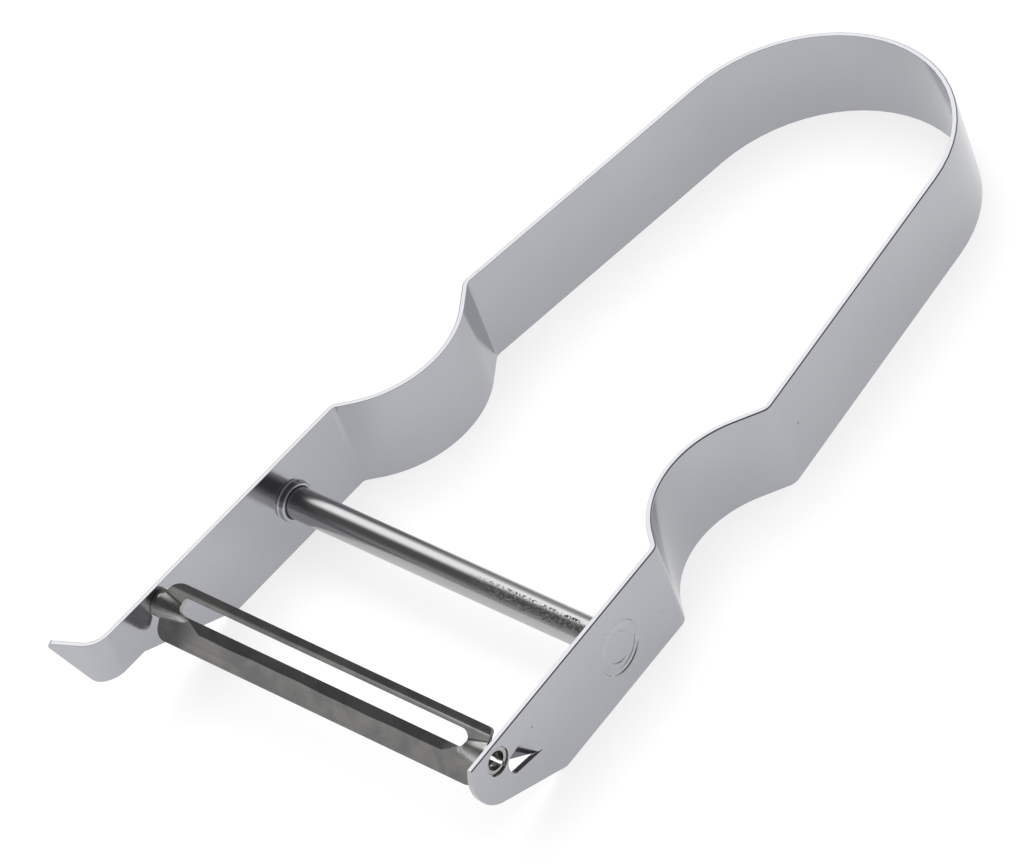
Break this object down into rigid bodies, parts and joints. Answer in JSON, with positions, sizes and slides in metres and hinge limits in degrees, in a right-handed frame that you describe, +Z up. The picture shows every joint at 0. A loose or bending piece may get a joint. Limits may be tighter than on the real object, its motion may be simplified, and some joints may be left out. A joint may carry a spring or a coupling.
{
  "type": "vegetable peeler",
  "caption": "Swivel-blade peeler: a bent metal strip forms the bow handle, with a crossbar, a slotted blade and a potato eye gouge on one tip.",
  "frame": {"origin": "middle of the strip at the crown of the bow, on the lower edge that rests on the table", "axes": "+Y from the blade to the crown of the bow, +X to the arm with the stop tongue, +Z up across the strip"},
  "size_m": [0.0572, 0.1152, 0.0124],
  "materials": {
    "plated_strip": "satin plated",
    "bright_bar": "bright plated",
    "blade_steel": "dull ground"
  },
  "bodies": {
    "frame": {"handle": "plated_strip", "crossbar": "bright_bar"},
    "blade": {"blade": "blade_steel"}
  },
  "joints": [
    {"name": "blade_swivel", "type": "hinge", "parent": "frame", "child": "blade", "pos_m": [0.0007, -0.10305, 0.00975], "axis": [1, 0, 0], "range_deg": [-33, 70]}
  ]
}
